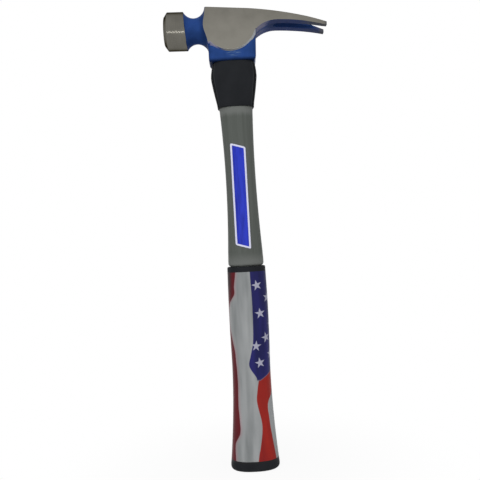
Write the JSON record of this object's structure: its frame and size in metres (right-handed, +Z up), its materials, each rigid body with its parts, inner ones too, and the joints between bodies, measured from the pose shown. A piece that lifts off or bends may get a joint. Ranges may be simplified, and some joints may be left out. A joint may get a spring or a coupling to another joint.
{
  "type": "framing hammer",
  "caption": "Framing hammer: forged head with round poll, ground cheeks and slotted rip claw, bonded on a jacketed fibreglass handle with overstrike collar and rubber grip.",
  "frame": {"origin": "middle of the butt's flat end, on the axis of the handle core", "axes": "+Z up along the handle to the head, +X towards the claw, -X towards the striking face, +Y across the hammer away from the label"},
  "size_m": [0.1427, 0.0332, 0.4064],
  "materials": {
    "head_steel": "ground and polished on poll, cheeks, claw sides and top, blue paint elsewhere",
    "core_fibreglass": "pultruded glass fibre in resin",
    "jacket_grey": "satin moulded",
    "resin": "cast",
    "collar_black": "satin moulded",
    "grip_rubber": "satin moulded",
    "film_print": "printed shrink film",
    "label_blue": "printed sticker"
  },
  "bodies": {
    "root": {"head": "head_steel", "handle_core": "core_fibreglass", "handle_jacket": "jacket_grey", "eye_resin": "resin", "overstrike_collar": "collar_black", "grip_sleeve": "grip_rubber", "grip_film": "film_print", "handle_label": "label_blue"}
  },
  "joints": []
}
